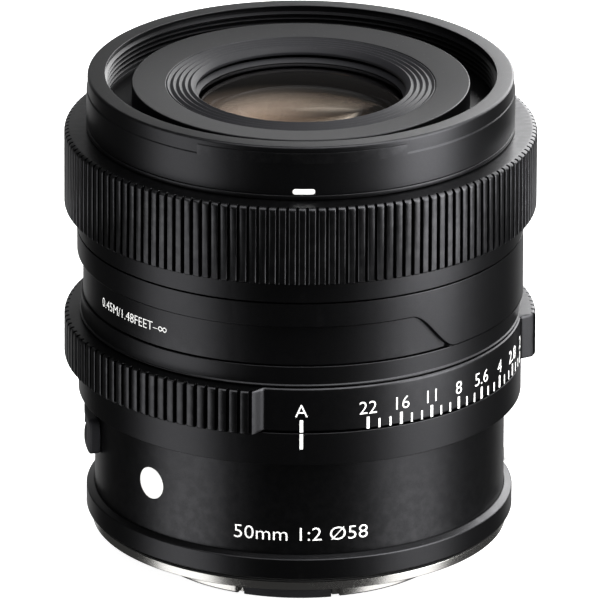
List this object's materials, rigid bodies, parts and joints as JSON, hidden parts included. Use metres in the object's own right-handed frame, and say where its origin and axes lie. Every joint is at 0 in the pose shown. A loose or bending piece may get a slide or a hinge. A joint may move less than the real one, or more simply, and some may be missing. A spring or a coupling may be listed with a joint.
{
  "type": "prime camera lens",
  "caption": "Autofocus prime lens with ribbed focus ring, clicked aperture ring, mode switch and bayonet; rings, iris blades, focusing group and switch move.",
  "frame": {"origin": "centre of the mount flange's seating face, on the optical axis", "axes": "+Z along the optical axis to the front; -Y towards the index line; +X to the right seen from the index side with the front up"},
  "size_m": [0.07, 0.07, 0.0749],
  "materials": {
    "barrel_black": "satin black anodised, turned",
    "grip_black": "satin black anodised, milled ribs",
    "inner_black": "matt black anodised",
    "baffle_black": "matt black moulded polycarbonate",
    "coated_glass": "polished optical glass, anti-reflection coated",
    "bayonet_chrome": "satin chrome on brass",
    "steel": "turned stainless steel",
    "contact_gold": "gold plated",
    "pinion_brass": "cut brass",
    "seal_rubber": "soft black rubber",
    "slide_ptfe": "slippery off-white fluoropolymer",
    "white_plastic": "white moulded plastic",
    "blade_black": "matt black coated spring steel",
    "motor_steel": "drawn steel can",
    "sensor_green": "solder-masked board"
  },
  "bodies": {
    "lens_body": {"front_ring": "barrel_black", "face_plate": "baffle_black", "front_baffle": "baffle_black", "front_retainer": "inner_black", "front_barrel": "barrel_black", "focus_slides": "slide_ptfe", "focus_sensor": "sensor_green", "focus_collar": "barrel_black", "mid_barrel": "barrel_black", "aperture_collar": "barrel_black", "click_spring": "steel", "index_band": "barrel_black", "rear_barrel": "barrel_black", "switch_housing": "baffle_black", "badge": "white_plastic", "index_bead": "white_plastic", "mount_skirt": "barrel_black", "mount_seal": "seal_rubber", "bayonet_mount": "bayonet_chrome", "mount_screws": "steel", "contact_block": "baffle_black", "contact_pins": "contact_gold", "rear_mask": "baffle_black", "main_tube": "inner_black", "front_cell": "inner_black", "rear_cell": "inner_black", "iris_base": "inner_black", "iris_cover": "inner_black", "iris_motor": "motor_steel", "guide_rods": "steel", "focus_motor": "motor_steel", "element_1": "coated_glass", "element_2": "coated_glass", "element_3": "coated_glass", "element_4": "coated_glass", "element_5": "coated_glass", "element_6": "coated_glass", "element_8": "coated_glass", "element_9": "coated_glass", "element_10": "coated_glass", "element_11": "coated_glass"},
    "focus_ring": {"focus_ring": "grip_black", "focus_comb": "inner_black"},
    "aperture_ring": {"aperture_ring": "grip_black"},
    "focus_group": {"focus_cell": "inner_black", "element_7": "coated_glass"},
    "lead_screw": {"lead_screw": "steel"},
    "iris_drive": {"iris_drive_ring": "blade_black"},
    "iris_pinion": {"iris_pinion": "pinion_brass"},
    "mode_switch": {"switch_knob": "baffle_black"},
    "click_ball": {"click_ball": "steel"},
    "iris_blade_1": {"iris_blade_1": "blade_black"},
    "iris_blade_2": {"iris_blade_2": "blade_black"},
    "iris_blade_3": {"iris_blade_3": "blade_black"},
    "iris_blade_4": {"iris_blade_4": "blade_black"},
    "iris_blade_5": {"iris_blade_5": "blade_black"},
    "iris_blade_6": {"iris_blade_6": "blade_black"},
    "iris_blade_7": {"iris_blade_7": "blade_black"},
    "iris_blade_8": {"iris_blade_8": "blade_black"},
    "iris_blade_9": {"iris_blade_9": "blade_black"}
  },
  "joints": [
    {"name": "focus_turn", "type": "hinge", "parent": "lens_body", "child": "focus_ring", "pos_m": [0, 0, 0.0555], "axis": [0, 0, 1], "continuous": true},
    {"name": "aperture_turn", "type": "hinge", "parent": "lens_body", "child": "aperture_ring", "pos_m": [0, 0, 0.0293], "axis": [0, 0, 1], "range_deg": [-81.75, 0]},
    {"name": "mode_slide", "type": "hinge", "parent": "lens_body", "child": "mode_switch", "pos_m": [0, 0, 0.0148], "axis": [0, 0, 1], "range_deg": [0, 7]},
    {"name": "click_lift", "type": "slide", "parent": "lens_body", "child": "click_ball", "axis": [0, 0, 1], "range_m": [0, 0.0002], "deforming": ["click_spring"]},
    {"name": "focus_travel", "type": "slide", "parent": "lens_body", "child": "focus_group", "axis": [0, 0, 1], "range_m": [0, 0.0054]},
    {"name": "screw_turn", "type": "hinge", "parent": "lens_body", "child": "lead_screw", "pos_m": [-0.01296, 0.01851, 0.027], "axis": [0, 0, 1], "range_deg": [0, 1081]},
    {"name": "iris_turn", "type": "hinge", "parent": "lens_body", "child": "iris_drive", "pos_m": [0, 0, 0.04645], "axis": [0, 0, 1], "range_deg": [0, 21]},
    {"name": "pinion_turn", "type": "hinge", "parent": "lens_body", "child": "iris_pinion", "pos_m": [0.01887, 0.01322, 0.045], "axis": [0, 0, 1], "range_deg": [-199, 0]},
    {"name": "blade_1_turn", "type": "hinge", "parent": "lens_body", "child": "iris_blade_1", "pos_m": [0, -0.0176, 0.0445], "axis": [0, 0, 1], "range_deg": [0, 33.7]},
    {"name": "blade_2_turn", "type": "hinge", "parent": "lens_body", "child": "iris_blade_2", "pos_m": [0.01131, -0.01348, 0.0445], "axis": [0, 0, 1], "range_deg": [0, 33.7]},
    {"name": "blade_3_turn", "type": "hinge", "parent": "lens_body", "child": "iris_blade_3", "pos_m": [0.01733, -0.00306, 0.0445], "axis": [0, 0, 1], "range_deg": [0, 33.7]},
    {"name": "blade_4_turn", "type": "hinge", "parent": "lens_body", "child": "iris_blade_4", "pos_m": [0.01524, 0.0088, 0.0445], "axis": [0, 0, 1], "range_deg": [0, 33.7]},
    {"name": "blade_5_turn", "type": "hinge", "parent": "lens_body", "child": "iris_blade_5", "pos_m": [0.00602, 0.01654, 0.0445], "axis": [0, 0, 1], "range_deg": [0, 33.7]},
    {"name": "blade_6_turn", "type": "hinge", "parent": "lens_body", "child": "iris_blade_6", "pos_m": [-0.00602, 0.01654, 0.0445], "axis": [0, 0, 1], "range_deg": [0, 33.7]},
    {"name": "blade_7_turn", "type": "hinge", "parent": "lens_body", "child": "iris_blade_7", "pos_m": [-0.01524, 0.0088, 0.0445], "axis": [0, 0, 1], "range_deg": [0, 33.7]},
    {"name": "blade_8_turn", "type": "hinge", "parent": "lens_body", "child": "iris_blade_8", "pos_m": [-0.01733, -0.00306, 0.0445], "axis": [0, 0, 1], "range_deg": [0, 33.7]},
    {"name": "blade_9_turn", "type": "hinge", "parent": "lens_body", "child": "iris_blade_9", "pos_m": [-0.01131, -0.01348, 0.0445], "axis": [0, 0, 1], "range_deg": [0, 33.7]}
  ],
  "couplings": [
    {"joint": "screw_turn", "follows": "focus_travel", "rad_per_m": 3490.7},
    {"joint": "pinion_turn", "follows": "iris_turn", "ratio": -9.4545},
    {"joint": "blade_1_turn", "follows": "iris_turn", "ratio": 1.6},
    {"joint": "blade_2_turn", "follows": "iris_turn", "ratio": 1.6},
    {"joint": "blade_3_turn", "follows": "iris_turn", "ratio": 1.6},
    {"joint": "blade_4_turn", "follows": "iris_turn", "ratio": 1.6},
    {"joint": "blade_5_turn", "follows": "iris_turn", "ratio": 1.6},
    {"joint": "blade_6_turn", "follows": "iris_turn", "ratio": 1.6},
    {"joint": "blade_7_turn", "follows": "iris_turn", "ratio": 1.6},
    {"joint": "blade_8_turn", "follows": "iris_turn", "ratio": 1.6},
    {"joint": "blade_9_turn", "follows": "iris_turn", "ratio": 1.6}
  ]
}
